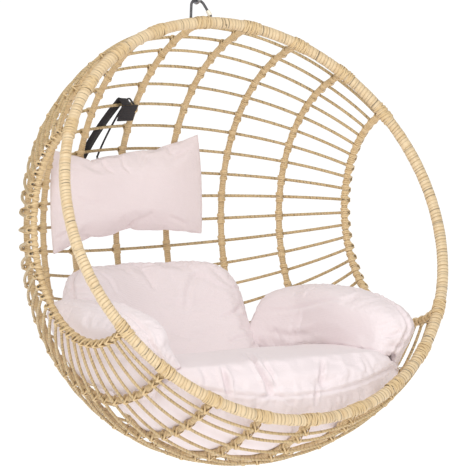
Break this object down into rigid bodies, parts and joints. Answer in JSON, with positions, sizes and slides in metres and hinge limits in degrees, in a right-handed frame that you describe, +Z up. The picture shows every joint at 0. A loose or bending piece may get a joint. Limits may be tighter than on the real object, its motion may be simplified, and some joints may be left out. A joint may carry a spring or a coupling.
{
  "type": "hanging egg chair",
  "caption": "Open round hanging basket chair of wound tube ribs and lashed cross rods, with loose cushions, a strapped head pillow and a snap hook.",
  "frame": {"origin": "where the hanger bears inside the snap hook's upper bow, on the swing's plumb line", "axes": "+Z up, +X to the right when looking along +Y from in front of the chair, the sitter looks along -Y"},
  "size_m": [1.109, 0.9451, 1.2329],
  "materials": {
    "hook_steel": "zinc-plated steel wire, satin, slightly dulled",
    "pin_steel": "bright steel",
    "loop_steel": "dark grey powder coat, satin",
    "sleeve": "pale matte sleeve",
    "frame_steel": "black powder coat, seen only in the gaps of the winding",
    "rod_steel": "black coated steel wire, inside its winding",
    "rattan": "flat synthetic rattan strip, satin, wound close",
    "rattan_rod": "thin rod with synthetic rattan strip wound round it",
    "rattan_tie": "narrow synthetic rattan strip, knotted",
    "cushion": "pale pinkish canvas, soft matte weave",
    "webbing": "black flat webbing"
  },
  "bodies": {
    "carabiner": {"carabiner_body": "hook_steel"},
    "gate": {"carabiner_gate": "hook_steel", "carabiner_pin": "pin_steel", "carabiner_spring": "pin_steel"},
    "basket": {"hanging_loop": "loop_steel", "loop_sleeve": "sleeve", "hoop_tube": "frame_steel", "hoop_wrap": "rattan", "rib_left_3": "frame_steel", "rib_left_2": "frame_steel", "rib_left_1": "frame_steel", "rib_centre": "frame_steel", "rib_right_1": "frame_steel", "rib_right_2": "frame_steel", "rib_right_3": "frame_steel", "armhole_rib_left": "frame_steel", "armhole_rib_right": "frame_steel", "rib_wraps": "rattan", "rod_01": "rod_steel", "rod_02": "rod_steel", "rod_03": "rod_steel", "rod_04": "rod_steel", "rod_05": "rod_steel", "rod_06": "rod_steel", "rod_07": "rod_steel", "rod_08": "rod_steel", "rod_09": "rod_steel", "rod_10": "rod_steel", "rod_11": "rod_steel", "rod_12": "rod_steel", "rod_13": "rod_steel", "rod_14": "rod_steel", "rod_15": "rod_steel", "rod_16": "rod_steel", "rod_17": "rod_steel", "rod_18": "rod_steel", "rod_19": "rod_steel", "rod_20": "rod_steel", "rod_21": "rod_steel", "rod_22": "rod_steel", "rod_23": "rod_steel", "rod_24": "rod_steel", "rod_25": "rod_steel", "rod_26": "rod_steel", "rod_27": "rod_steel", "rod_28": "rod_steel", "rod_29": "rod_steel", "rod_30": "rod_steel", "rod_wraps_upper": "rattan_rod", "rod_wraps_lower": "rattan_rod", "lashings": "rattan_tie", "rod_end_knots": "rattan_tie", "seat_cushion": "cushion", "back_cushion": "cushion", "arm_cushion_left": "cushion", "arm_cushion_right": "cushion", "pillow_strap": "webbing"},
    "pillow": {"head_pillow": "cushion", "pillow_tab": "webbing"}
  },
  "joints": [
    {"name": "basket_swing", "type": "hinge", "parent": "carabiner", "child": "basket", "pos_m": [0, 0, -0.0602], "axis": [1, 0, 0], "range_deg": [-20, 20]},
    {"name": "gate_open", "type": "hinge", "parent": "carabiner", "child": "gate", "pos_m": [0, -0.016, -0.046], "axis": [1, 0, 0], "range_deg": [-25, 0], "stiffness_Nm_per_rad": 0.08, "springref_deg": 17.19},
    {"name": "pillow_swing", "type": "hinge", "parent": "basket", "child": "pillow", "pos_m": [-0.022, 0.2945, -0.45055], "axis": [1, 0, 0], "range_deg": [-70, 0]}
  ]
}
